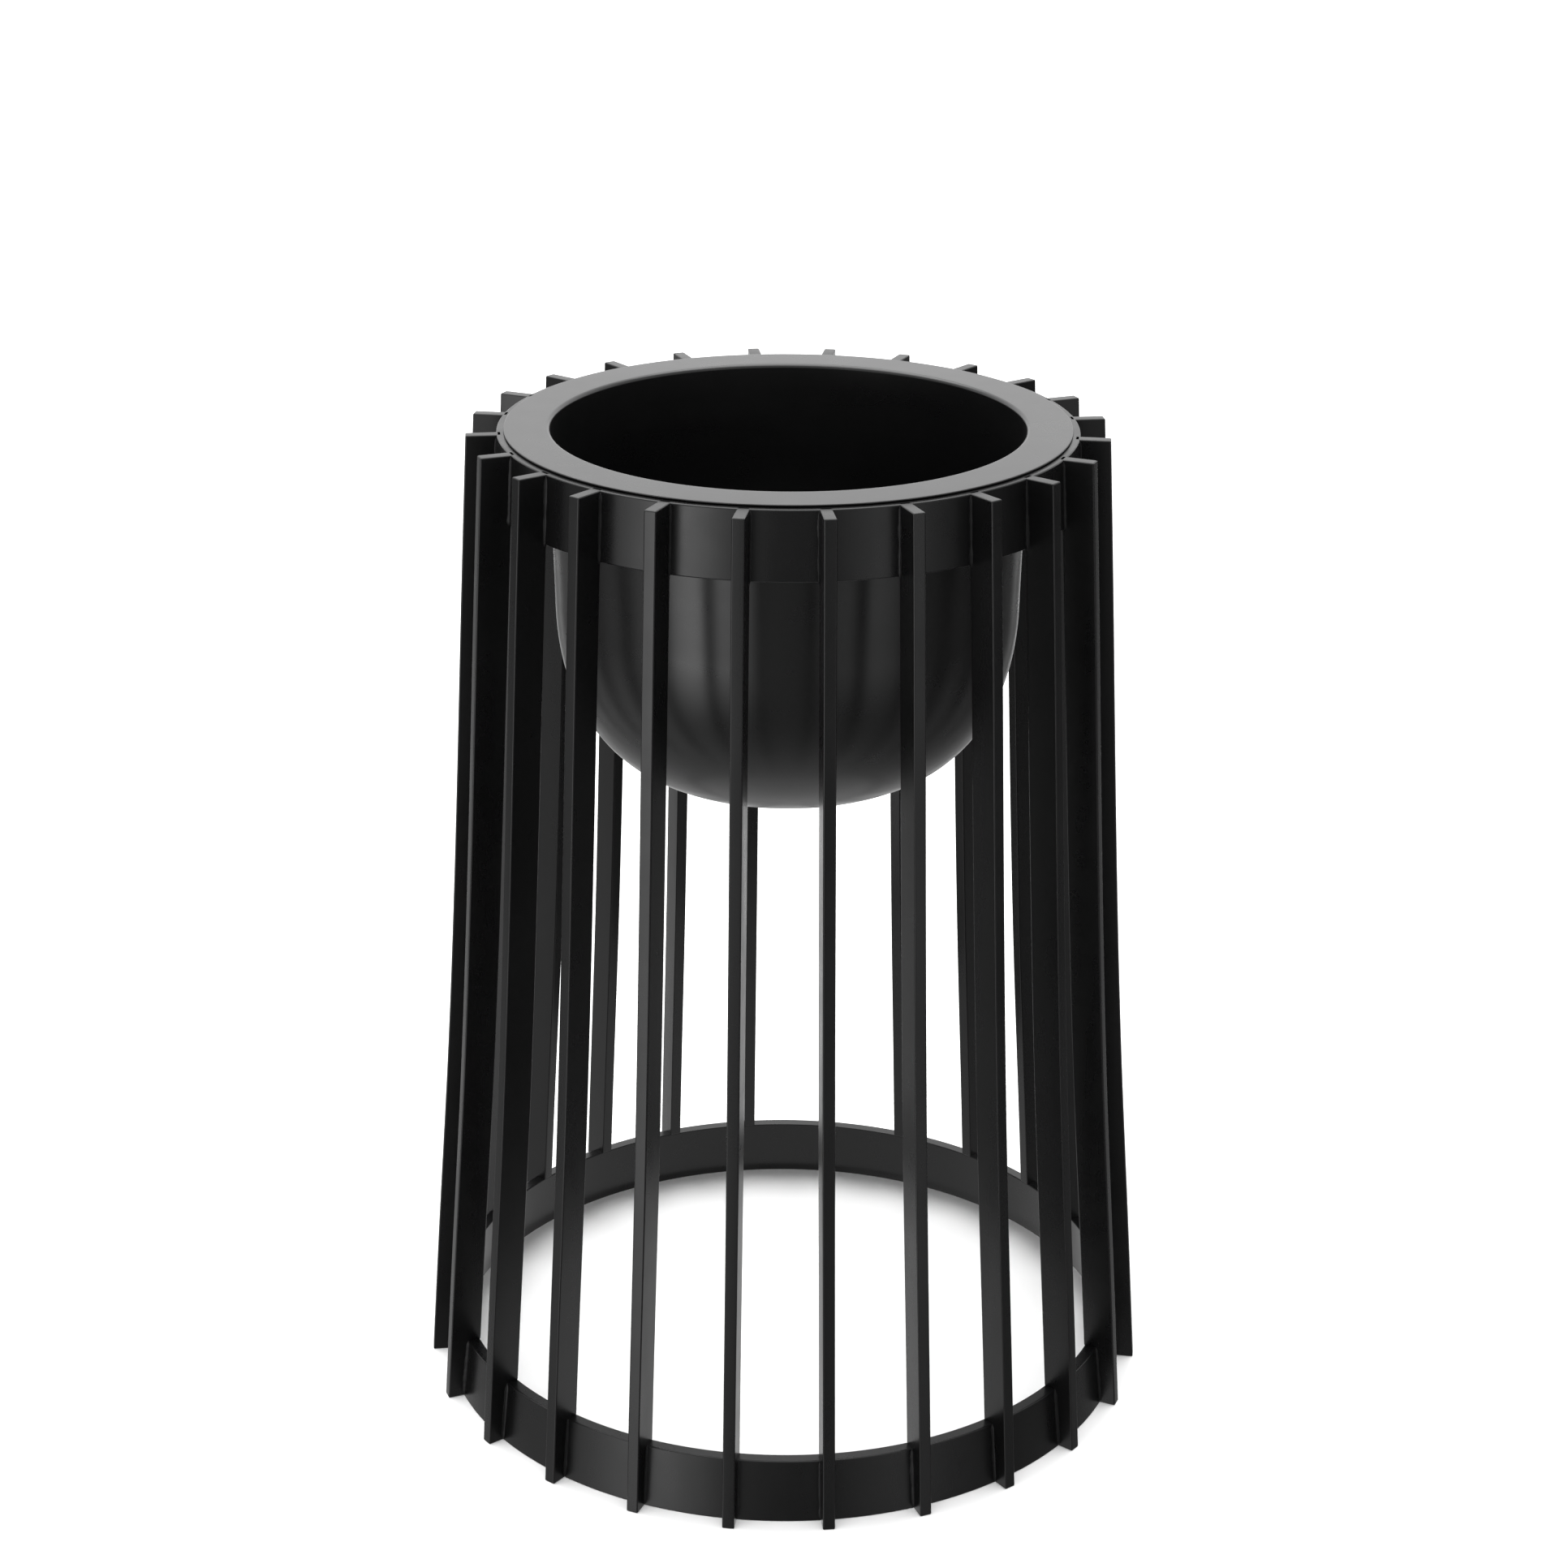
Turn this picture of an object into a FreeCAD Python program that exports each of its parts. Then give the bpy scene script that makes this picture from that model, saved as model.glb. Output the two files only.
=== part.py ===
import FreeCAD, Part
import math
import os

from FreeCAD import Vector

# ---------------------------------------------------------------------------
# Slatted stand with a lift-out bowl.
# Origin: centre of the stand's footprint, at the level it rests on.
# +Z up.  All lengths in millimetres.
# ---------------------------------------------------------------------------

# stand
STAND_H = 500.0            # height of the slats and of the top ring's upper face
SLAT_COUNT = 24
SLAT_FIRST_DEG = -7.5      # first slat, measured from -Y towards +X
SLAT_T = 6.0               # slat thickness, round the stand
SLAT_DEPTH = 15.8          # slat depth, along the radius
SLAT_EDGE_R = 0.7          # eased long edges of the flat bar

# outer edge of a slat: radius at each height, a gentle flare to the foot
SLAT_OUTER = [
    (0.0, 187.7),
    (83.333, 181.35),
    (166.667, 174.6),
    (250.0, 168.85),
    (333.333, 163.95),
    (416.667, 159.4),
    (500.0, 154.6),
]

# rings, rolled from flat bar, each opening out downwards as the slats do
TOP_RING_H = 33.0
TOP_RING_RO = 140.0        # at its upper edge
TOP_RING_RI = 133.1
TOP_RING_LEAN = 0.058      # growth in radius for each mm down
BOT_RING_H = 32.0
BOT_RING_RO = 176.1        # at its upper edge
BOT_RING_RI = 169.9
BOT_RING_LEAN = 0.1125
RING_EDGE_R = 0.6

# weld beads, one each side of every slat, on the ring's outer face
WELD_LEG_TOP = 2.4
WELD_LEG_BOT = 2.4
WELD_END_GAP = 2.5         # bead stops this far from the ring's upper and lower edges

# bowl
BOWL_FLANGE_R = 136.5      # outer radius of the flange
BOWL_H = 178.0             # flange's upper face to the underside
BOWL_T = 1.0               # sheet thickness
BOWL_WALL_R = 115.3        # outer radius of the wall, just under the flange
BOWL_DRAFT_DEG = 1.2       # wall leans in by this much downwards
BOWL_CURVE_START = 83.0    # depth at which the wall starts to turn in
BOWL_FLAT_R = 35.5         # flat in the middle of the underside
BOWL_CURVE_P = 2.32        # fullness of the turn, 2 is an ellipse
BOWL_BEND_R = 1.0          # inside radius of the bend, under the flange
BOWL_LIP_R = 0.45          # rounding of the flange's outer edge
BOWL_SEAT_GAP = 0.3        # left between the flange and the ring it hangs on
BOWL_FLANGE_Z = STAND_H + BOWL_SEAT_GAP + BOWL_T      # flange's upper face, bowl hanging in the ring


def rz(r, z):
    return Vector(r, 0.0, z)


def line(a, b):
    return Part.LineSegment(a, b).toShape()


def spline(points, t0=None, t1=None):
    c = Part.BSplineCurve()
    if t0 is not None and t1 is not None:
        c.interpolate(Points=points, InitialTangent=t0, FinalTangent=t1)
    else:
        c.interpolate(Points=points)
    return c


def revolve(wire):
    face = Part.Face(wire)
    return face.revolve(Vector(0, 0, 0), Vector(0, 0, 1), 360)


def as_solid(shape):
    if shape.ShapeType == "Solid":
        s = shape
    else:
        s = shape.Solids[0]
    if s.Volume < 0:
        s = s.reversed()
    return s


def ring(ri, ro, z0, z1, er, lean):
    # rounded rectangle, sheared outwards towards its lower edge, turned round the stand's axis
    pts = [
        (ri + er, z0), (ro - er, z0),
        (ro, z0 + er), (ro, z1 - er),
        (ro - er, z1), (ri + er, z1),
        (ri, z1 - er), (ri, z0 + er),
    ]
    k = er * (1.0 - math.sqrt(0.5))
    mids = [
        (ro - k, z0 + k), (ro - k, z1 - k), (ri + k, z1 - k), (ri + k, z0 + k),
    ]
    pts = [(r + lean * (z1 - z), z) for r, z in pts]
    mids = [(r + lean * (z1 - z), z) for r, z in mids]
    edges = []
    for i in range(4):
        a = pts[2 * i]
        b = pts[2 * i + 1]
        c = pts[(2 * i + 2) % 8]
        m = mids[i]
        edges.append(line(rz(*a), rz(*b)))
        edges.append(Part.Arc(rz(*b), rz(*m), rz(*c)).toShape())
    return as_solid(revolve(Part.Wire(edges)))


def slat_blank():
    # the bar lies in the XZ plane, outer edge towards +X, then is thickened in Y
    outer_pts = [rz(r, z) for z, r in SLAT_OUTER]
    outer = spline(outer_pts)
    inner_pts = [rz(r - SLAT_DEPTH, z) for z, r in SLAT_OUTER]
    inner = spline(inner_pts)
    e_out = outer.toShape()
    e_in = inner.toShape()
    top = line(outer_pts[-1], inner_pts[-1])
    bot = line(inner_pts[0], outer_pts[0])
    wire = Part.Wire([e_out, top, Part.Edge(e_in), bot])
    face = Part.Face(wire)
    face.translate(Vector(0, -SLAT_T / 2.0, 0))
    body = face.extrude(Vector(0, SLAT_T, 0))
    long_edges = []
    for e in body.Edges:
        bb = e.BoundBox
        if bb.ZLength > 0.9 * STAND_H:
            long_edges.append(e)
    body = body.makeFillet(SLAT_EDGE_R, long_edges)
    return as_solid(body)


def slats():
    blank = slat_blank()
    # the two rings' outer faces are let into the slat's inner edge
    top_cut = Part.makeCone(TOP_RING_RO + TOP_RING_LEAN * TOP_RING_H, TOP_RING_RO - TOP_RING_LEAN,
                            TOP_RING_H + 1.0, Vector(0, 0, STAND_H - TOP_RING_H))
    bot_cut = Part.makeCone(BOT_RING_RO + BOT_RING_LEAN * (BOT_RING_H + 1.0), BOT_RING_RO,
                            BOT_RING_H + 1.0, Vector(0, 0, -1.0))
    blank = as_solid(blank.cut(top_cut))
    blank = as_solid(blank.cut(bot_cut))
    out = []
    for k in range(SLAT_COUNT):
        ang = SLAT_FIRST_DEG + k * 360.0 / SLAT_COUNT
        s = blank.copy()
        # +X turned to the slat's direction, measured from -Y towards +X
        s.rotate(Vector(0, 0, 0), Vector(0, 0, 1), ang - 90.0)
        out.append(s)
    return out


def weld_bead(ro, z0, z1, leg, side):
    # rounded triangular bead in the corner of ring face and slat side,
    # drawn for the slat that lies along +X
    y = side * SLAT_T / 2.0
    x_at = math.sqrt(ro * ro - y * y)
    y2 = side * (SLAT_T / 2.0 + leg)
    x2 = math.sqrt(ro * ro - y2 * y2)
    a = Vector(x_at, y, z0)
    b = Vector(x_at + leg, y, z0)
    c = Vector(x2, y2, z0)
    mid = (b + c) * 0.5
    centre = a
    bulge = mid + (mid - centre) * 0.28
    arc = Part.Arc(b, bulge, c).toShape()
    ym = 0.5 * (y + y2)
    ring_arc = Part.Arc(c, Vector(math.sqrt(ro * ro - ym * ym), ym, z0), a).toShape()
    w = Part.Wire([line(a, b), arc, ring_arc])
    f = Part.Face(w)
    s = f.extrude(Vector(0, 0, z1 - z0))
    s = as_solid(s)
    # soft ends
    try:
        ends = []
        for e in s.Edges:
            bb = e.BoundBox
            if bb.ZLength < 0.01:
                m = e.valueAt(0.5 * (e.FirstParameter + e.LastParameter))
                if math.hypot(m.x, m.y) > ro + 0.35 * leg and abs(m.y) > SLAT_T / 2.0 + 0.2 * leg:
                    ends.append(e)
        t = as_solid(s.makeFillet(0.8, ends))
        if t.isValid() and t.Volume > 0:
            s = t
    except Exception:
        pass
    return s


def weld_group(ro, z0, z1, leg, lean):
    # ro is the ring's outer radius at its upper edge
    solids = []
    zm = 0.5 * (z0 + z1)
    rm = ro + lean * (z1 - zm)
    for side in (-1.0, 1.0):
        bead = weld_bead(rm, z0 + WELD_END_GAP, z1 - WELD_END_GAP, leg, side)
        # leaned to lie along the ring's sloping face
        bead.rotate(Vector(rm, 0, zm), Vector(0, 1, 0), -math.degrees(math.atan(lean)))
        for k in range(SLAT_COUNT):
            ang = SLAT_FIRST_DEG + k * 360.0 / SLAT_COUNT
            s = bead.copy()
            s.rotate(Vector(0, 0, 0), Vector(0, 0, 1), ang - 90.0)
            solids.append(s)
    return Part.makeCompound(solids)


def bowl_outer_curve(n):
    # superellipse from the end of the drafted wall to the flat underside,
    # as (radius, depth below the flange's upper face)
    tan_d = math.tan(math.radians(BOWL_DRAFT_DEG))
    rc = BOWL_WALL_R - tan_d * BOWL_CURVE_START
    depth = BOWL_H - BOWL_CURVE_START
    pts = []
    for i in range(n + 1):
        u = i / n
        # angle runs from the wall to the flat
        t = u * math.pi / 2.0
        p = BOWL_CURVE_P
        r = BOWL_FLAT_R + (rc - BOWL_FLAT_R) * math.cos(t) ** (2.0 / p)
        d = BOWL_CURVE_START + depth * math.sin(t) ** (2.0 / p)
        pts.append((r, d))
    return rc, tan_d, pts


def bowl():
    rc, tan_d, pts = bowl_outer_curve(14)
    zf = BOWL_FLANGE_Z
    # evenly spread points along the curve's length
    dense = bowl_outer_curve(400)[2]
    acc = [0.0]
    for a, b in zip(dense[:-1], dense[1:]):
        acc.append(acc[-1] + math.hypot(b[0] - a[0], b[1] - a[1]))
    n = 12
    pick = []
    for i in range(n + 1):
        s = acc[-1] * i / n
        j = 0
        while j < len(acc) - 2 and acc[j + 1] < s:
            j += 1
        f = (s - acc[j]) / (acc[j + 1] - acc[j])
        pick.append((dense[j][0] + f * (dense[j + 1][0] - dense[j][0]),
                     dense[j][1] + f * (dense[j + 1][1] - dense[j][1])))
    out_pts = [rz(r, zf - d) for r, d in pick]
    t0 = Vector(-tan_d, 0, -1.0)
    t1 = Vector(-1.0, 0, 0.0)
    outer = spline(out_pts, t0, t1)
    # inner surface: the same curve moved in by the sheet thickness
    in_pts = []
    m = 24
    for i in range(m + 1):
        u = outer.FirstParameter + (outer.LastParameter - outer.FirstParameter) * i / m
        p = outer.value(u)
        t = outer.tangent(u)[0]
        nrm = Vector(t.z, 0, -t.x)       # to the left of travel, away from the bowl's inside
        nrm.normalize()
        q = p + nrm * BOWL_T
        if math.hypot(q.x, q.z - (zf - BOWL_CURVE_START)) > math.hypot(p.x, p.z - (zf - BOWL_CURVE_START)):
            q = p - nrm * BOWL_T
        in_pts.append(q)
    inner = spline(in_pts, t0, t1)

    w_out = BOWL_WALL_R
    # wall's outer line meets the flange's underside; bend radius tangent to both
    zu = zf - BOWL_T
    r_u = BOWL_BEND_R
    r_t = BOWL_BEND_R + BOWL_T

    # bend centre, below the flange and outside the wall
    zc = zu - r_u
    rcx = w_out - math.tan(math.radians(BOWL_DRAFT_DEG)) * (zf - zc) + r_u / math.cos(math.radians(BOWL_DRAFT_DEG))
    cen = rz(rcx, zc)
    d = math.radians(BOWL_DRAFT_DEG)
    # direction from the centre to the wall (towards the axis, slightly up)
    to_wall = Vector(-math.cos(d), 0, math.sin(d))
    a_u = cen + to_wall * r_u                # on the wall's outer face
    b_u = cen + Vector(0, 0, 1) * r_u        # on the flange's underside
    mid_dir = to_wall + Vector(0, 0, 1)
    mid_dir.normalize()
    m_u = cen + mid_dir * r_u
    a_t = cen + to_wall * r_t
    b_t = cen + Vector(0, 0, 1) * r_t
    m_t = cen + mid_dir * r_t

    rf = BOWL_FLANGE_R
    lip = BOWL_LIP_R
    k = lip * (1.0 - math.sqrt(0.5))
    e = []
    # outside, from the middle of the underside up to the rim
    e.append(line(rz(0, zf - BOWL_H), out_pts[-1]))
    e.append(outer.toShape())
    e.append(line(out_pts[0], a_u))
    e.append(Part.Arc(a_u, m_u, b_u).toShape())
    e.append(line(b_u, rz(rf - lip, zu)))
    e.append(Part.Arc(rz(rf - lip, zu), rz(rf - k, zu + k), rz(rf, zu + lip)).toShape())
    if BOWL_T - 2.0 * lip > 1e-6:
        e.append(line(rz(rf, zu + lip), rz(rf, zf - lip)))
    e.append(Part.Arc(rz(rf, zf - lip), rz(rf - k, zf - k), rz(rf - lip, zf)).toShape())
    # inside, back to the middle
    e.append(line(rz(rf - lip, zf), b_t))
    e.append(Part.Arc(b_t, m_t, a_t).toShape())
    e.append(line(a_t, in_pts[0]))
    e.append(inner.toShape())
    e.append(line(in_pts[-1], rz(0, zf - BOWL_H + BOWL_T)))
    e.append(line(rz(0, zf - BOWL_H + BOWL_T), rz(0, zf - BOWL_H)))
    wire = Part.Wire(Part.__sortEdges__(e))
    return as_solid(revolve(wire))


def main():
    os.makedirs("parts", exist_ok=True)
    out = {}
    out["top_ring"] = ring(TOP_RING_RI, TOP_RING_RO, STAND_H - TOP_RING_H, STAND_H, RING_EDGE_R, TOP_RING_LEAN)
    out["bottom_ring"] = ring(BOT_RING_RI, BOT_RING_RO, 0.0, BOT_RING_H, RING_EDGE_R, BOT_RING_LEAN)
    for i, s in enumerate(slats()):
        out["slat_%02d" % (i + 1)] = s
    out["top_welds"] = weld_group(TOP_RING_RO, STAND_H - TOP_RING_H, STAND_H, WELD_LEG_TOP, TOP_RING_LEAN)
    out["bottom_welds"] = weld_group(BOT_RING_RO, 0.0, BOT_RING_H, WELD_LEG_BOT, BOT_RING_LEAN)
    out["bowl"] = bowl()
    for name, shape in out.items():
        shape.exportStep("parts/%s.step" % name)
    for name in ("top_ring", "bottom_ring", "slat_01", "top_welds", "bottom_welds", "bowl"):
        s = out[name]
        bb = s.BoundBox
        print(name, "valid", s.isValid(), "solids", len(s.Solids), "vol %.1f" % s.Volume,
              "box %.2f %.2f %.2f  %.2f %.2f %.2f" % (bb.XMin, bb.YMin, bb.ZMin, bb.XMax, bb.YMax, bb.ZMax))


main()
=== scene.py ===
import bpy, bmesh, math
from mathutils import Vector, Matrix, noise


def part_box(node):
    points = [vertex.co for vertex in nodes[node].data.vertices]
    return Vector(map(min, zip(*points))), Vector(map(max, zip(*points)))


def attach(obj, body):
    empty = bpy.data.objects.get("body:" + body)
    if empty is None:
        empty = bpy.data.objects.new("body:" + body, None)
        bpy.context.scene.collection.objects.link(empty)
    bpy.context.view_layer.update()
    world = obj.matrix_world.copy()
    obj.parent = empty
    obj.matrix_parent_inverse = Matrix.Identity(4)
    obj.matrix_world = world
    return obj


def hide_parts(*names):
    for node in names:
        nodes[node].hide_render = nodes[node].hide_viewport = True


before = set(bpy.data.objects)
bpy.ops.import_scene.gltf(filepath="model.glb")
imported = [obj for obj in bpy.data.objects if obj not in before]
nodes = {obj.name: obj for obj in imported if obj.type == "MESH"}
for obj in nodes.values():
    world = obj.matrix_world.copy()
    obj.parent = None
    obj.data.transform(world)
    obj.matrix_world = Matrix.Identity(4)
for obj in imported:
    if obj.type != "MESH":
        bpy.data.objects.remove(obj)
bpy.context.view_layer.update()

MM = 0.001

# ---------------------------------------------------------------------------
# sizes, in millimetres, as the CAD model has them
# ---------------------------------------------------------------------------
STAND_H = 500.0
SLAT_N = 24
SLAT_FIRST = -7.5
SLAT_T = 6.0
SLAT_D = 15.8
OUTER = [(0.0, 187.7), (83.333, 181.35), (166.667, 174.6), (250.0, 168.85),
         (333.333, 163.95), (416.667, 159.4), (500.0, 154.6)]
TOP_H = 33.0
TOP_RO, TOP_RI, TOP_LEAN = 140.0, 133.1, 0.058     # radii at the upper edge
BOT_H = 32.0
BOT_RO, BOT_RI, BOT_LEAN = 176.1, 169.9, 0.1125

bowl_lo, bowl_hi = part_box("bowl")
BOWL_ZF = bowl_hi[2] / MM          # flange's upper face
BOWL_H = 178.0
BOWL_RF = 136.5
BOWL_T = 1.0
BOWL_RW = 115.3
BOWL_DRAFT = math.radians(1.2)
BOWL_TURN = 83.0
BOWL_FLAT = 35.5
BOWL_P = 2.32


# ---------------------------------------------------------------------------
# small helpers
# ---------------------------------------------------------------------------
def spline_coeffs(pts):
    """Natural cubic through (x, y) points; returns a function."""
    n = len(pts)
    x = [p[0] for p in pts]
    y = [p[1] for p in pts]
    h = [x[i + 1] - x[i] for i in range(n - 1)]
    a = [0.0] * n
    b = [1.0] * n
    c = [0.0] * n
    d = [0.0] * n
    for i in range(1, n - 1):
        a[i] = h[i - 1]
        b[i] = 2.0 * (h[i - 1] + h[i])
        c[i] = h[i]
        d[i] = 6.0 * ((y[i + 1] - y[i]) / h[i] - (y[i] - y[i - 1]) / h[i - 1])
    for i in range(1, n):
        w = a[i] / b[i - 1]
        b[i] -= w * c[i - 1]
        d[i] -= w * d[i - 1]
    m = [0.0] * n
    m[-1] = d[-1] / b[-1]
    for i in range(n - 2, -1, -1):
        m[i] = (d[i] - c[i] * m[i + 1]) / b[i]

    def f(t):
        i = 0
        while i < n - 2 and t > x[i + 1]:
            i += 1
        u = x[i + 1] - t
        v = t - x[i]
        return (m[i] * u ** 3 + m[i + 1] * v ** 3) / (6.0 * h[i]) \
            + (y[i] / h[i] - m[i] * h[i] / 6.0) * u + (y[i + 1] / h[i] - m[i + 1] * h[i] / 6.0) * v
    return f


slat_outer = spline_coeffs(OUTER)


def new_object(name, bm, body, cad, material):
    bmesh.ops.recalc_face_normals(bm, faces=bm.faces)
    me = bpy.data.meshes.new(name)
    bm.to_mesh(me)
    bm.free()
    for p in me.polygons:
        p.use_smooth = True
    ob = bpy.data.objects.new(name, me)
    bpy.context.scene.collection.objects.link(ob)
    me.materials.append(material)
    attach(ob, body)
    if cad:
        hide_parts(*cad)
    return ob


def weighted(ob):
    m = ob.modifiers.new("faces_flat", "WEIGHTED_NORMAL")
    m.mode = "FACE_AREA"
    m.weight = 60
    m.keep_sharp = False
    return m


def turn(profile, count, closed=True, wobble=None):
    """Turns a closed (r, z) profile, in mm, round Z."""
    bm = bmesh.new()
    rings = []
    for i in range(count):
        a = 2.0 * math.pi * i / count
        ca, sa = math.cos(a), math.sin(a)
        row = []
        for j, (r, z) in enumerate(profile):
            dr, dz = (0.0, 0.0) if wobble is None else wobble(a, r, z)
            row.append(bm.verts.new(((r + dr) * ca * MM, (r + dr) * sa * MM, (z + dz) * MM)))
        rings.append(row)
    n = len(profile)
    for i in range(count):
        A = rings[i]
        B = rings[(i + 1) % count]
        for j in range(n if closed else n - 1):
            k = (j + 1) % n
            bm.faces.new((A[j], B[j], B[k], A[k]))
    return bm


def rounded_corner(cx, cz, r, a0, a1, seg):
    return [(cx + r * math.cos(math.radians(a0 + (a1 - a0) * s / seg)),
             cz + r * math.sin(math.radians(a0 + (a1 - a0) * s / seg))) for s in range(seg + 1)]


# ---------------------------------------------------------------------------
# materials
# ---------------------------------------------------------------------------
def nd(nt, kind, x, y, **kw):
    n = nt.nodes.new(kind)
    n.location = (x, y)
    for k, v in kw.items():
        setattr(n, k, v)
    return n


def paint(name, base, base_hi, rough_lo, rough_hi, peel, peel_scale, streak_axis_scale, streak, spec=0.5, nib=0.0):
    """Satin black paint on steel: fine orange peel, long faint run marks, patchy sheen and a few dust nibs."""
    mat = bpy.data.materials.new(name)
    mat.use_nodes = True
    nt = mat.node_tree
    nt.nodes.clear()
    out = nd(nt, "ShaderNodeOutputMaterial", 900, 0)
    bs = nd(nt, "ShaderNodeBsdfPrincipled", 600, 0)
    bs.inputs["IOR"].default_value = 1.5
    bs.inputs["Metallic"].default_value = 0.0
    bs.inputs["Specular IOR Level"].default_value = spec
    nt.links.new(bs.outputs[0], out.inputs[0])
    tc = nd(nt, "ShaderNodeTexCoord", -1200, 0)

    # colour: very small drift between deep black and a slightly lifted black
    n1 = nd(nt, "ShaderNodeTexNoise", -900, 350)
    n1.inputs["Scale"].default_value = 14.0
    n1.inputs["Detail"].default_value = 6.0
    n1.inputs["Roughness"].default_value = 0.6
    nt.links.new(tc.outputs["Object"], n1.inputs["Vector"])
    cr = nd(nt, "ShaderNodeValToRGB", -600, 350)
    cr.color_ramp.elements[0].position = 0.30
    cr.color_ramp.elements[0].color = (*base, 1)
    cr.color_ramp.elements[1].position = 0.78
    cr.color_ramp.elements[1].color = (*base_hi, 1)
    nt.links.new(n1.outputs["Fac"], cr.inputs["Fac"])
    nt.links.new(cr.outputs["Color"], bs.inputs["Base Color"])

    # sheen drift: long streaks along the height and a finer mottle
    mp = nd(nt, "ShaderNodeMapping", -1000, 0)
    mp.inputs["Scale"].default_value = streak_axis_scale
    nt.links.new(tc.outputs["Object"], mp.inputs["Vector"])
    n2 = nd(nt, "ShaderNodeTexNoise", -800, 0)
    n2.inputs["Scale"].default_value = 1.0
    n2.inputs["Detail"].default_value = 5.0
    n2.inputs["Roughness"].default_value = 0.55
    nt.links.new(mp.outputs[0], n2.inputs["Vector"])
    n3 = nd(nt, "ShaderNodeTexNoise", -800, -200)
    n3.inputs["Scale"].default_value = 75.0
    n3.inputs["Detail"].default_value = 4.0
    nt.links.new(tc.outputs["Object"], n3.inputs["Vector"])
    mx = nd(nt, "ShaderNodeMath", -600, -80, operation="MULTIPLY_ADD")
    mx.inputs[1].default_value = 0.35
    nt.links.new(n3.outputs["Fac"], mx.inputs[0])
    sc = nd(nt, "ShaderNodeMath", -700, 60, operation="MULTIPLY")
    sc.inputs[1].default_value = 0.65
    nt.links.new(n2.outputs["Fac"], sc.inputs[0])
    nt.links.new(sc.outputs[0], mx.inputs[2])
    mr = nd(nt, "ShaderNodeMapRange", -400, -80)
    mr.inputs["From Min"].default_value = 0.30
    mr.inputs["From Max"].default_value = 0.70
    mr.inputs["To Min"].default_value = rough_lo
    mr.inputs["To Max"].default_value = rough_hi
    nt.links.new(mx.outputs[0], mr.inputs["Value"])
    nt.links.new(mr.outputs[0], bs.inputs["Roughness"])

    # relief: orange peel, run marks, nibs
    n4 = nd(nt, "ShaderNodeTexNoise", -800, -450)
    n4.inputs["Scale"].default_value = peel_scale
    n4.inputs["Detail"].default_value = 2.5
    n4.inputs["Roughness"].default_value = 0.5
    nt.links.new(tc.outputs["Object"], n4.inputs["Vector"])
    b1 = nd(nt, "ShaderNodeBump", 200, -450)
    b1.inputs["Strength"].default_value = peel
    b1.inputs["Distance"].default_value = 0.00012
    nt.links.new(n4.outputs["Fac"], b1.inputs["Height"])
    b2 = nd(nt, "ShaderNodeBump", 0, -650)
    b2.inputs["Strength"].default_value = streak
    b2.inputs["Distance"].default_value = 0.0006
    nt.links.new(n2.outputs["Fac"], b2.inputs["Height"])
    nt.links.new(b2.outputs[0], b1.inputs["Normal"])
    last = b2
    if nib > 0.0:
        vo = nd(nt, "ShaderNodeTexVoronoi", -800, -850)
        vo.inputs["Scale"].default_value = 120.0
        nt.links.new(tc.outputs["Object"], vo.inputs["Vector"])
        nr = nd(nt, "ShaderNodeMapRange", -500, -850)
        nr.inputs["From Min"].default_value = 0.0
        nr.inputs["From Max"].default_value = 0.07
        nr.inputs["To Min"].default_value = 1.0
        nr.inputs["To Max"].default_value = 0.0
        nt.links.new(vo.outputs["Distance"], nr.inputs["Value"])
        # only a few of the cells carry a nib
        sp = nd(nt, "ShaderNodeSeparateColor", -500, -1050)
        nt.links.new(vo.outputs["Color"], sp.inputs[0])
        gt = nd(nt, "ShaderNodeMath", -300, -1050, operation="GREATER_THAN")
        gt.inputs[1].default_value = 0.86
        nt.links.new(sp.outputs[0], gt.inputs[0])
        mu = nd(nt, "ShaderNodeMath", -150, -900, operation="MULTIPLY")
        nt.links.new(nr.outputs[0], mu.inputs[0])
        nt.links.new(gt.outputs[0], mu.inputs[1])
        b3 = nd(nt, "ShaderNodeBump", -50, -850)
        b3.inputs["Strength"].default_value = nib
        b3.inputs["Distance"].default_value = 0.0002
        nt.links.new(mu.outputs[0], b3.inputs["Height"])
        nt.links.new(b3.outputs[0], b2.inputs["Normal"])
    nt.links.new(b1.outputs[0], bs.inputs["Normal"])
    return mat


mat_frame = paint("frame_paint_satin", (0.0020, 0.0020, 0.0021), (0.0038, 0.0038, 0.0040),
                  0.23, 0.35, 0.035, 380.0, (60.0, 60.0, 2.5), 0.04, spec=0.32, nib=0.03)
mat_weld = paint("weld_paint_satin", (0.0020, 0.0020, 0.0021), (0.0040, 0.0040, 0.0042),
                 0.34, 0.46, 0.15, 520.0, (220.0, 220.0, 220.0), 0.12, spec=0.17)
mat_bowl = paint("bowl_paint_satin", (0.0022, 0.0022, 0.0023), (0.0034, 0.0034, 0.0036),
                 0.26, 0.31, 0.02, 480.0, (9.0, 9.0, 60.0), 0.004)


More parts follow.
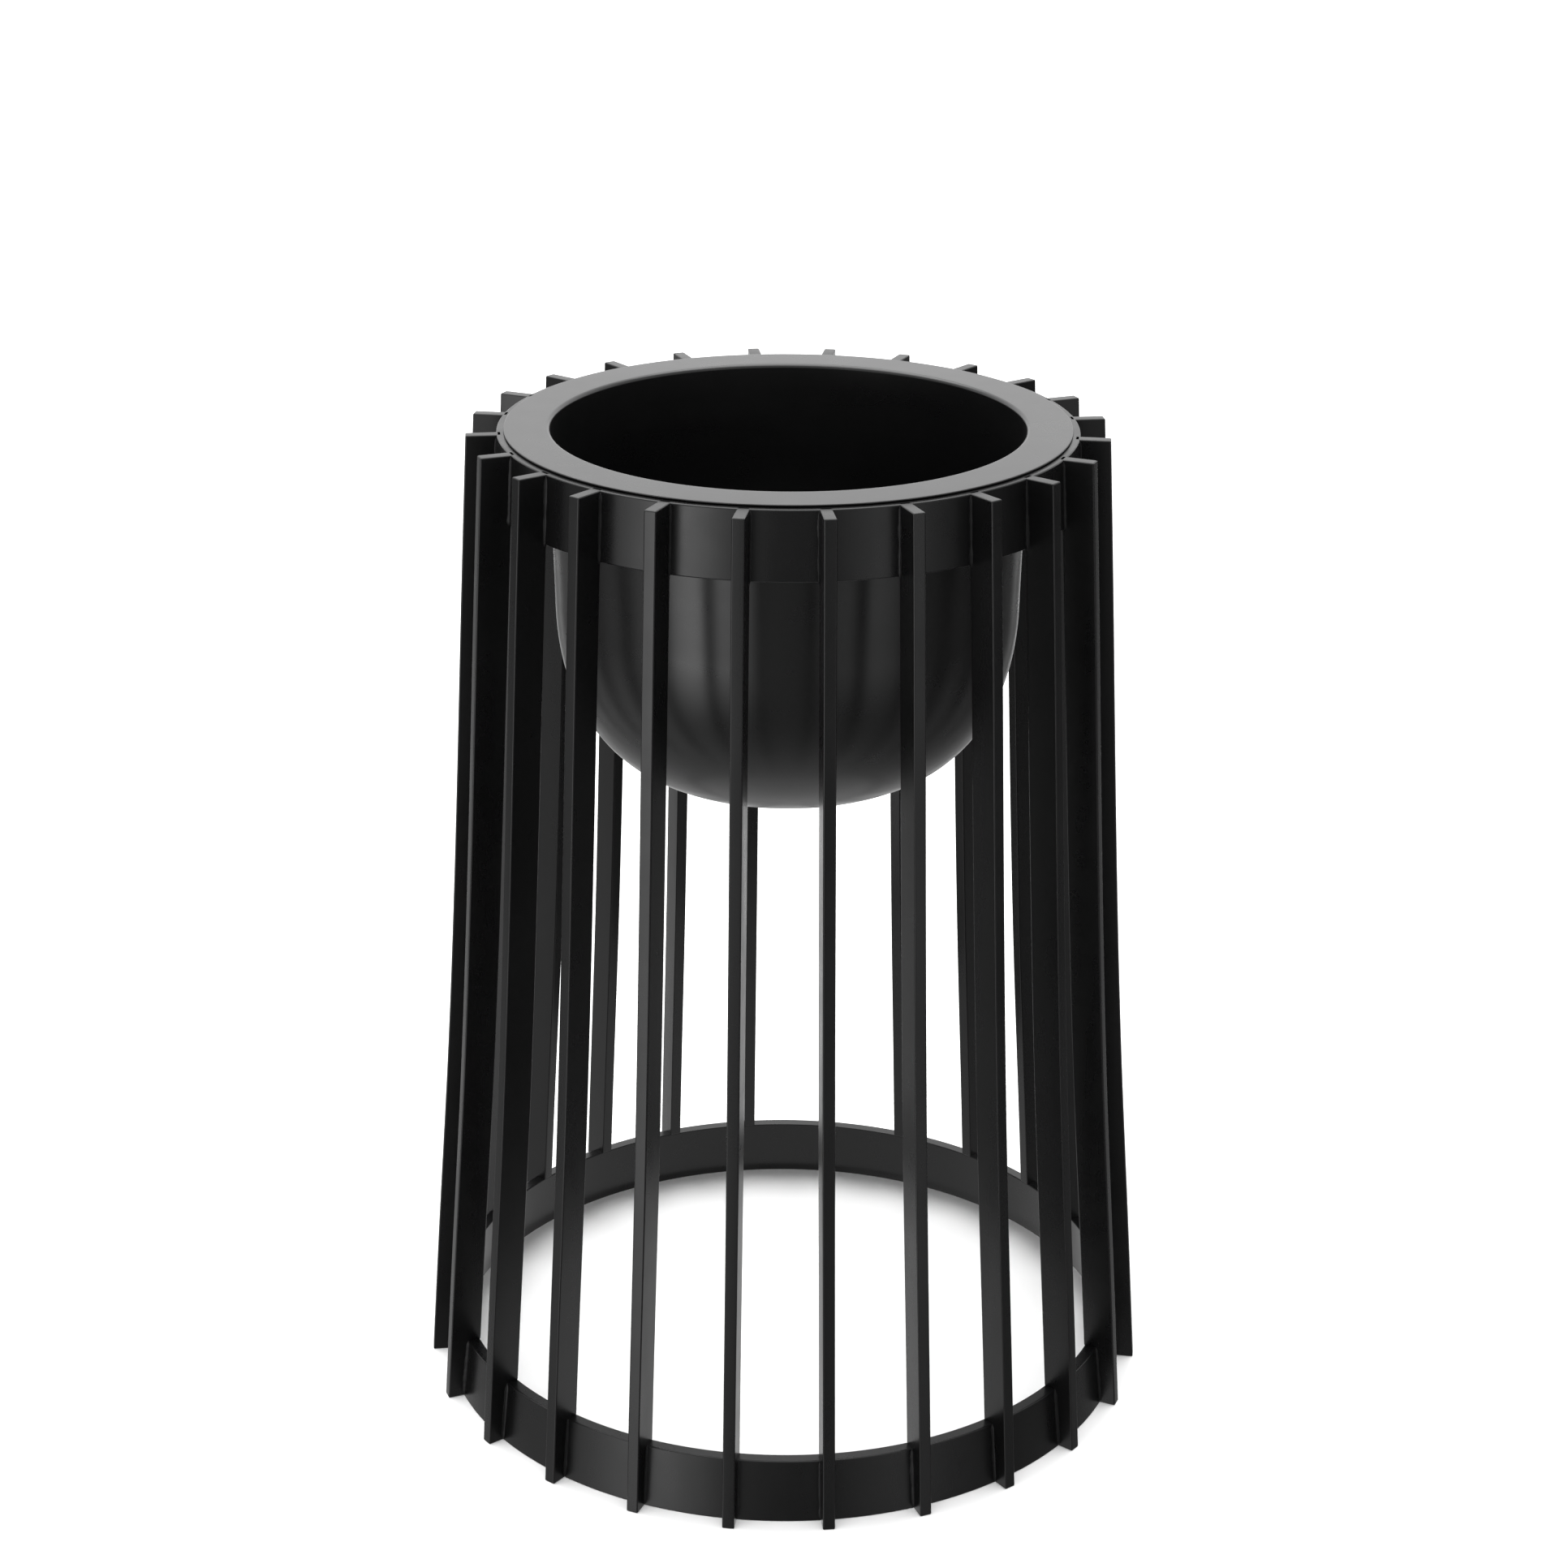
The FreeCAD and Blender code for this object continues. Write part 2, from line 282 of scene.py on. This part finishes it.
# ---------------------------------------------------------------------------
# slats: flat bar on edge, one smooth bend from top to foot, eased edges
# ---------------------------------------------------------------------------
def slat_mesh(k):
    bm = bmesh.new()
    # close rows at the lower ring's upper edge, where the inner edge steps back
    zs = [0.0, 8.0, 16.0, 24.0, BOT_H - 1.0, BOT_H - 0.2]
    n = 52
    zs += [BOT_H + 8.0 + (STAND_H - BOT_H - 8.0) * i / n for i in range(n + 1)]
    rows = []
    for z in zs:
        ro = slat_outer(z)
        ri = ro - SLAT_D
        if z > STAND_H - TOP_H + 1.0:
            # let into the upper ring, so that the two upper faces run into each other
            ri = min(ri, TOP_RO + TOP_LEAN * (STAND_H - z) - 2.6)
        if z < BOT_H - 0.6:
            # stops within the lower ring, which has a clean inner face
            ri = BOT_RI + BOT_LEAN * (BOT_H - z) + 2.8
        h = SLAT_T / 2.0
        row = [bm.verts.new((ri * MM, -h * MM, z * MM)), bm.verts.new((ro * MM, -h * MM, z * MM)),
               bm.verts.new((ro * MM, h * MM, z * MM)), bm.verts.new((ri * MM, h * MM, z * MM))]
        rows.append(row)
    for A, B in zip(rows[:-1], rows[1:]):
        for j in range(4):
            n = (j + 1) % 4
            bm.faces.new((A[j], A[n], B[n], B[j]))
    bm.faces.new(rows[0][::-1])
    bm.faces.new(rows[-1])
    ang = math.radians(SLAT_FIRST + k * 360.0 / SLAT_N - 90.0)
    bmesh.ops.rotate(bm, verts=bm.verts, cent=(0, 0, 0), matrix=Matrix.Rotation(ang, 3, "Z"))
    return bm


for k in range(SLAT_N):
    cad = "slat_%02d" % (k + 1)
    ob = new_object("bar_%02d" % (k + 1), slat_mesh(k), "stand", [cad], mat_frame)
    bv = ob.modifiers.new("eased_edges", "BEVEL")
    bv.width = 0.65 * MM
    bv.segments = 3
    bv.limit_method = "ANGLE"
    bv.angle_limit = math.radians(40)
    bv.harden_normals = False
    weighted(ob)


# ---------------------------------------------------------------------------
# rings: rolled flat bar with eased edges
# ---------------------------------------------------------------------------
def ring_bm(ri, ro, z0, z1, er, lean):
    prof = []
    prof += rounded_corner(ro - er, z0 + er, er, -90, 0, 4)
    prof += [(ro, z0 + (z1 - z0) * f) for f in (0.25, 0.5, 0.75)]
    prof += rounded_corner(ro - er, z1 - er, er, 0, 90, 4)
    prof += rounded_corner(ri + er, z1 - er, er, 90, 180, 4)
    prof += [(ri, z1 - (z1 - z0) * f) for f in (0.25, 0.5, 0.75)]
    prof += rounded_corner(ri + er, z0 + er, er, 180, 270, 4)
    # the bar opens out downwards, as the slats do
    return turn([(r + lean * (z1 - z), z) for r, z in prof], 288)


weighted(new_object("band_upper", ring_bm(TOP_RI, TOP_RO, STAND_H - TOP_H, STAND_H, 0.7, TOP_LEAN), "stand",
                    ["top_ring"], mat_frame))
weighted(new_object("band_lower", ring_bm(BOT_RI, BOT_RO, 0.0, BOT_H, 0.7, BOT_LEAN), "stand",
                    ["bottom_ring"], mat_frame))


# ---------------------------------------------------------------------------
# weld beads: painted-over fillets in the corners of slat and ring
# ---------------------------------------------------------------------------
def bead_rows(ring_r, z0, z1, side, seed, leg0):
    """Rows of points for one bead, for the slat along +X; side is -1 or 1, ring_r the ring's face at each height."""
    seg = 6
    rows = []
    steps = 34
    h = SLAT_T / 2.0
    zs = [z0 - 0.9 + (z1 + 0.2 - (z0 - 0.9)) * i / steps for i in range(steps + 1)]
    for z in zs:
        # the bead swells, ripples and runs out at both ends
        e = min((z - zs[0]) / 2.2, (zs[-1] - z) / 2.6)
        e = max(0.0, min(1.0, e))
        e = math.sin(e * math.pi / 2.0)
        nz = noise.noise(Vector((seed * 3.7, z * 0.16, 1.3))) + 0.5 * noise.noise(Vector((seed * 5.3, z * 0.45, 4.1)))
        rip = 0.05 * math.sin(z * 2.0 * math.pi / 1.35 + seed * 2.1)
        leg = leg0 * (0.15 + 0.85 * e) * (1.0 + 0.42 * nz + rip)
        lt = leg * (1.0 + 0.30 * noise.noise(Vector((z * 0.2, seed * 1.9, 7.0))))
        row = []
        for s in range(seg + 1):
            t = s / seg * math.pi / 2.0
            # concave fillet blended with the chord
            ca, cb = leg - leg * math.sin(t), lt - lt * math.cos(t)
            la, lb = leg * (1.0 - s / seg), lt * (s / seg)
            w = 0.55
            a = la * (1 - w) + ca * w
            b = lb * (1 - w) + cb * w
            row.append((a, b))
        row.append((-0.35, lt))
        row.append((-0.35, -0.35))
        row.append((leg, -0.35))
        pts = []
        for a, b in row:
            y = h + b
            x = math.sqrt(max(0.0, ring_r(z) ** 2 - y * y)) + a
            pts.append((x, side * y, z))
        rows.append(pts)
    return rows


def beads(ring_r, z0, z1, leg, base_seed):
    bm = bmesh.new()
    for k in range(SLAT_N):
        ang = math.radians(SLAT_FIRST + k * 360.0 / SLAT_N - 90.0)
        ca, sa = math.cos(ang), math.sin(ang)
        for side in (-1.0, 1.0):
            rows = bead_rows(ring_r, z0, z1, side, base_seed + k * 2 + (side > 0), leg)
            vr = []
            for pts in rows:
                vr.append([bm.verts.new(((x * ca - y * sa) * MM, (x * sa + y * ca) * MM, z * MM)) for x, y, z in pts])
            n = len(vr[0])
            for A, B in zip(vr[:-1], vr[1:]):
                for j in range(n):
                    m = (j + 1) % n
                    bm.faces.new((A[j], A[m], B[m], B[j]))
            bm.faces.new(vr[0][::-1])
            bm.faces.new(vr[-1])
    return bm


new_object("weld_beads_upper",
           beads(lambda z: TOP_RO + TOP_LEAN * (STAND_H - z), STAND_H - TOP_H, STAND_H - 1.0, 0.85, 11), "stand",
           ["top_welds"], mat_weld)
new_object("weld_beads_lower",
           beads(lambda z: BOT_RO + BOT_LEAN * (BOT_H - z), 1.6, BOT_H - 0.4, 1.0, 101), "stand",
           ["bottom_welds"], mat_weld)


# ---------------------------------------------------------------------------
# bowl: one spun sheet, flat flange, drafted wall, full round turn, small flat
# ---------------------------------------------------------------------------
def bowl_profile():
    td = math.tan(BOWL_DRAFT)
    rc = BOWL_RW - td * BOWL_TURN
    dep = BOWL_H - BOWL_TURN
    outer = []
    # turn, evenly along its length
    dense = []
    for i in range(1201):
        t = i / 1200 * math.pi / 2.0
        dense.append((BOWL_FLAT + (rc - BOWL_FLAT) * math.cos(t) ** (2 / BOWL_P) if i < 1200 else BOWL_FLAT,
                      BOWL_TURN + dep * math.sin(t) ** (2 / BOWL_P)))
    acc = [0.0]
    for p, q in zip(dense[:-1], dense[1:]):
        acc.append(acc[-1] + math.hypot(q[0] - p[0], q[1] - p[1]))
    n = 54
    curve = []
    j = 0
    for i in range(n + 1):
        s = acc[-1] * i / n
        while j < len(acc) - 2 and acc[j + 1] < s:
            j += 1
        f = (s - acc[j]) / max(1e-9, acc[j + 1] - acc[j])
        curve.append((dense[j][0] + f * (dense[j + 1][0] - dense[j][0]),
                      dense[j][1] + f * (dense[j + 1][1] - dense[j][1])))
    # wall from the bend to the start of the turn
    bend = 1.0
    zu = BOWL_ZF - BOWL_T
    zc = zu - bend
    cd, sd = math.cos(BOWL_DRAFT), math.sin(BOWL_DRAFT)
    cx = BOWL_RW - td * (BOWL_ZF - zc) + bend / cd

    def arc(r, seg=7):
        # from the wall (pointing inwards, slightly up) to straight up
        a0 = math.pi - BOWL_DRAFT
        a1 = math.pi / 2.0
        return [(cx + r * math.cos(a0 + (a1 - a0) * s / seg), zc + r * math.sin(a0 + (a1 - a0) * s / seg))
                for s in range(seg + 1)]

    out_pts = []
    for r in (6.0, 14.0, 24.0):
        out_pts.append((r, BOWL_ZF - BOWL_H))
    out_pts += [(r, BOWL_ZF - d) for r, d in reversed(curve)]
    wall_steps = 22
    a_u = arc(bend)
    for i in range(1, wall_steps):
        f = i / wall_steps
        z = (BOWL_ZF - BOWL_TURN) * (1 - f) + a_u[0][1] * f
        out_pts.append((BOWL_RW - td * (BOWL_ZF - z), z))
    out_pts += a_u
    lip = 0.45
    for r in (119.0, 124.0, 130.0, 134.5):
        out_pts.append((r, zu))
    out_pts += rounded_corner(BOWL_RF - lip, zu + lip, lip, -90, 0, 4)
    out_pts += rounded_corner(BOWL_RF - lip, BOWL_ZF - lip, lip, 0, 90, 4)
    in_pts = []
    for r in (134.5, 130.0, 124.0, 119.0):
        in_pts.append((r, BOWL_ZF))
    in_pts += list(reversed(arc(bend + BOWL_T)))
    a_t = arc(bend + BOWL_T)[0]
    # inner wall: outer moved in by the sheet thickness along its normal
    zt = BOWL_ZF - BOWL_TURN
    for i in range(1, wall_steps):
        f = i / wall_steps
        z = a_t[1] * (1 - f) + zt * f
        in_pts.append((BOWL_RW - td * (BOWL_ZF - z) - BOWL_T / cd, z))
    for i, (r, d) in enumerate(curve):
        p = curve[max(0, i - 1)]
        q = curve[min(len(curve) - 1, i + 1)]
        tx, tz = q[0] - p[0], -(q[1] - p[1])
        if i == 0:
            tx, tz = -sd, -cd
        if i == len(curve) - 1:
            tx, tz = -1.0, 0.0
        ln = math.hypot(tx, tz)
        tx, tz = tx / ln, tz / ln
        nx, nz = tz, -tx          # points into the bowl
        in_pts.append((r + nx * BOWL_T, BOWL_ZF - d + nz * BOWL_T))
    for r in (24.0, 14.0, 6.0):
        in_pts.append((r, BOWL_ZF - BOWL_H + BOWL_T))
    return out_pts, in_pts


def bowl_bm():
    out_pts, in_pts = bowl_profile()
    prof = out_pts + in_pts
    count = 256
    bm = bmesh.new()
    cols = []
    for i in range(count):
        a = 2 * math.pi * i / count
        ca, sa = math.cos(a), math.sin(a)
        cols.append([bm.verts.new((r * ca * MM, r * sa * MM, z * MM)) for r, z in prof])
    n = len(prof)
    for i in range(count):
        A, B = cols[i], cols[(i + 1) % count]
        for j in range(n - 1):
            bm.faces.new((A[j], B[j], B[j + 1], A[j + 1]))
    c0 = bm.verts.new((0, 0, prof[0][1] * MM))
    c1 = bm.verts.new((0, 0, prof[-1][1] * MM))
    for i in range(count):
        A, B = cols[i], cols[(i + 1) % count]
        bm.faces.new((c0, B[0], A[0]))
        bm.faces.new((c1, A[-1], B[-1]))
    return bm


weighted(new_object("spun_bowl", bowl_bm(), "bowl", ["bowl"], mat_bowl))


# ---------------------------------------------------------------------------
# floor, light and camera
# ---------------------------------------------------------------------------
def plain(name, col, rough):
    m = bpy.data.materials.new(name)
    m.use_nodes = True
    b = m.node_tree.nodes["Principled BSDF"]
    b.inputs["Base Color"].default_value = (*col, 1)
    b.inputs["Roughness"].default_value = rough
    b.inputs["Specular IOR Level"].default_value = 0.1
    return m


bm = bmesh.new()
s = 14.0
vs = [bm.verts.new((x, y, 0.0)) for x, y in ((-s, -s), (s, -s), (s, s), (-s, s))]
bm.faces.new(vs)
me = bpy.data.meshes.new("studio_floor")
bm.to_mesh(me)
bm.free()
floor = bpy.data.objects.new("studio_floor", me)
bpy.context.scene.collection.objects.link(floor)
me.materials.append(plain("floor_white", (0.86, 0.86, 0.86), 0.8))


# one very soft overhead light for the floor and the soft shadow round the feet
sun = bpy.data.lights.new("overhead_soft", "SUN")
sun.energy = 4.2
sun.angle = math.radians(75)
sun_ob = bpy.data.objects.new("overhead_soft", sun)
sc = bpy.context.scene
sc.collection.objects.link(sun_ob)
sun_ob.rotation_euler = (math.radians(-8), math.radians(-6), 0)

# The floor lights the scene and is seen by the camera. In reflections the studio world
# takes its place, with a small glowing disc for the bright floor inside the stand.
floor.visible_glossy = False


def floor_glow():
    bm = bmesh.new()
    n = 96
    R = 0.168
    c = bm.verts.new((0, 0, 0))
    ring = [bm.verts.new((R * math.cos(2 * math.pi * i / n), R * math.sin(2 * math.pi * i / n), 0)) for i in range(n)]
    for i in range(n):
        bm.faces.new((c, ring[i], ring[(i + 1) % n]))
    me = bpy.data.meshes.new("floor_glow")
    bm.to_mesh(me)
    bm.free()
    ob = bpy.data.objects.new("floor_glow", me)
    sc.collection.objects.link(ob)
    ob.location = (0, 0, 0.0002)
    m = bpy.data.materials.new("floor_glow")
    m.use_nodes = True
    t = m.node_tree
    t.nodes.clear()
    o = t.nodes.new("ShaderNodeOutputMaterial")
    e = t.nodes.new("ShaderNodeEmission")
    e.inputs["Strength"].default_value = 0.85
    t.links.new(e.outputs[0], o.inputs[0])
    me.materials.append(m)
    ob.visible_camera = False
    ob.visible_diffuse = False
    ob.visible_shadow = False
    ob.visible_transmission = False
    return ob


floor_glow()

world = bpy.data.worlds.new("studio")
sc.world = world
world.use_nodes = True
nt = world.node_tree
nt.nodes.clear()
wo = nd(nt, "ShaderNodeOutputWorld", 1200, 0)
bg = nd(nt, "ShaderNodeBackground", 800, 100)
bc = nd(nt, "ShaderNodeBackground", 800, -100)
mixw = nd(nt, "ShaderNodeMixShader", 1000, 0)
lp = nd(nt, "ShaderNodeLightPath", 800, 300)
tcw = nd(nt, "ShaderNodeTexCoord", -900, 0)
sx = nd(nt, "ShaderNodeSeparateXYZ", -700, 0)
nt.links.new(tcw.outputs["Generated"], sx.inputs[0])
neg = nd(nt, "ShaderNodeMath", -500, -80, operation="MULTIPLY")
neg.inputs[1].default_value = -1.0
nt.links.new(sx.outputs["Y"], neg.inputs[0])
at = nd(nt, "ShaderNodeMath", -300, 0, operation="ARCTAN2")
nt.links.new(sx.outputs["X"], at.inputs[0])
nt.links.new(neg.outputs[0], at.inputs[1])
tn = nd(nt, "ShaderNodeMapRange", -100, 0)
tn.inputs["From Min"].default_value = -math.pi
tn.inputs["From Max"].default_value = math.pi
nt.links.new(at.outputs[0], tn.inputs["Value"])
ramp = nd(nt, "ShaderNodeValToRGB", 100, 0)
ramp.color_ramp.interpolation = "B_SPLINE"
TOPL = 6.0
# brightness of the studio round the object, by azimuth from the front towards +X
LOOK = [(-180, 2.4), (-166, 2.3), (-156, 1.4), (-146, 0.45), (-130, 0.12), (-104, 0.12), (-84, 0.30), (-70, 0.70),
        (-58, 2.50), (-49, 5.20), (-34, 5.20), (-23, 1.60), (-12, 0.34), (2, 0.22), (16, 0.28),
        (28, 0.85), (36, 1.45), (46, 1.45), (56, 0.50), (70, 0.07), (90, 0.02), (134, 0.02), (149, 0.25),
        (159, 1.4), (168, 2.3), (180, 2.4)]
cr = ramp.color_ramp
while len(cr.elements) > 1:
    cr.elements.remove(cr.elements[-1])
first = True
for az, val in LOOK:
    pos = (az + 180.0) / 360.0
    if first:
        el = cr.elements[0]
        el.position = pos
        first = False
    else:
        el = cr.elements.new(pos)
    v = val / TOPL
    el.color = (v, v, v, 1)
nt.links.new(tn.outputs[0], ramp.inputs["Fac"])
gain = nd(nt, "ShaderNodeMath", 400, 0, operation="MULTIPLY")
gain.inputs[1].default_value = TOPL
nt.links.new(ramp.outputs["Color"], gain.inputs[0])
def span(node_y, src, lo, hi, to_lo, to_hi):
    m = nd(nt, "ShaderNodeMapRange", 100, node_y)
    m.interpolation_type = "SMOOTHSTEP"
    m.inputs["From Min"].default_value = lo
    m.inputs["From Max"].default_value = hi
    m.inputs["To Min"].default_value = to_lo
    m.inputs["To Max"].default_value = to_hi
    nt.links.new(src, m.inputs["Value"])
    return m.outputs[0]


def blend(node_x, fac, a_out, b_out):
    m = nd(nt, "ShaderNodeMix", node_x, 150)
    m.data_type = "FLOAT"
    nt.links.new(fac, m.inputs[0])
    nt.links.new(a_out, m.inputs[2])
    nt.links.new(b_out, m.inputs[3])
    return m.outputs[0]


# downwards the look fades into the floor: dim in front, bright below and behind
floor_level = span(300, sx.outputs["Y"], -0.78, 0.0, 0.27, 0.92)
# the floor is shaded towards +X, less so towards -X
for node_y, lo, hi, far in ((1100, 0.12, 0.72, 0.36), (1300, -0.20, -0.85, 0.80)):
    shade = nd(nt, "ShaderNodeMath", 300, node_y, operation="MULTIPLY")
    nt.links.new(floor_level, shade.inputs[0])
    nt.links.new(span(node_y, sx.outputs["X"], lo, hi, 1.0, far), shade.inputs[1])
    floor_level = shade.outputs[0]
low = blend(500, span(500, sx.outputs["Z"], -0.08, -0.70, 0.0, 1.0), gain.outputs[0], floor_level)
# upwards a bright dome takes over, brightest behind
dome_level = span(700, sx.outputs["Y"], -0.2, 0.7, 0.9, 1.5)
both = blend(600, span(900, sx.outputs["Z"], -0.04, 0.12, 0.0, 1.0), low, dome_level)
bg.inputs["Color"].default_value = (1, 1, 1, 1)
nt.links.new(both, bg.inputs["Strength"])
bc.inputs["Color"].default_value = (1, 1, 1, 1)
bc.inputs["Strength"].default_value = 1.05
nt.links.new(lp.outputs["Is Camera Ray"], mixw.inputs[0])
nt.links.new(bg.outputs[0], mixw.inputs[1])
nt.links.new(bc.outputs[0], mixw.inputs[2])
nt.links.new(mixw.outputs[0], wo.inputs[0])

sc.view_settings.view_transform = "Standard"
sc.view_settings.look = "None"
sc.view_settings.exposure = 0.0
sc.view_settings.gamma = 1.0

# camera
pitch, roll, yaw = math.radians(21.766), math.radians(0.301), math.radians(0.093)
cp, sp = math.cos(pitch), math.sin(pitch)
cy, sy = math.cos(yaw), math.sin(yaw)
fwd = Vector((sy * cp, cy * cp, -sp))
right = Vector((cy, -sy, 0.0))
up = right.cross(fwd)
r2 = math.cos(roll) * right + math.sin(roll) * up
u2 = -math.sin(roll) * right + math.cos(roll) * up
S = 500.0 / 600.0 * MM
C = Vector((-4.308 * S, -1758.023 * S, 1079.445 * S))
spin = Matrix.Rotation(math.radians(0.705), 3, "Z")
r2, u2, fwd, C = spin @ r2, spin @ u2, spin @ fwd, spin @ C
cam_data = bpy.data.cameras.new("camera")
cam_data.sensor_width = 36.0
cam_data.lens = 3869.191 / 1932.0 * 36.0
cam_data.clip_end = 60.0
cam = bpy.data.objects.new("camera", cam_data)
sc.collection.objects.link(cam)
m = Matrix.Identity(4)
for i in range(3):
    m[i][0] = r2[i]
    m[i][1] = u2[i]
    m[i][2] = -fwd[i]
    m[i][3] = C[i]
cam.matrix_world = m
sc.camera = cam

bpy.context.view_layer.update()
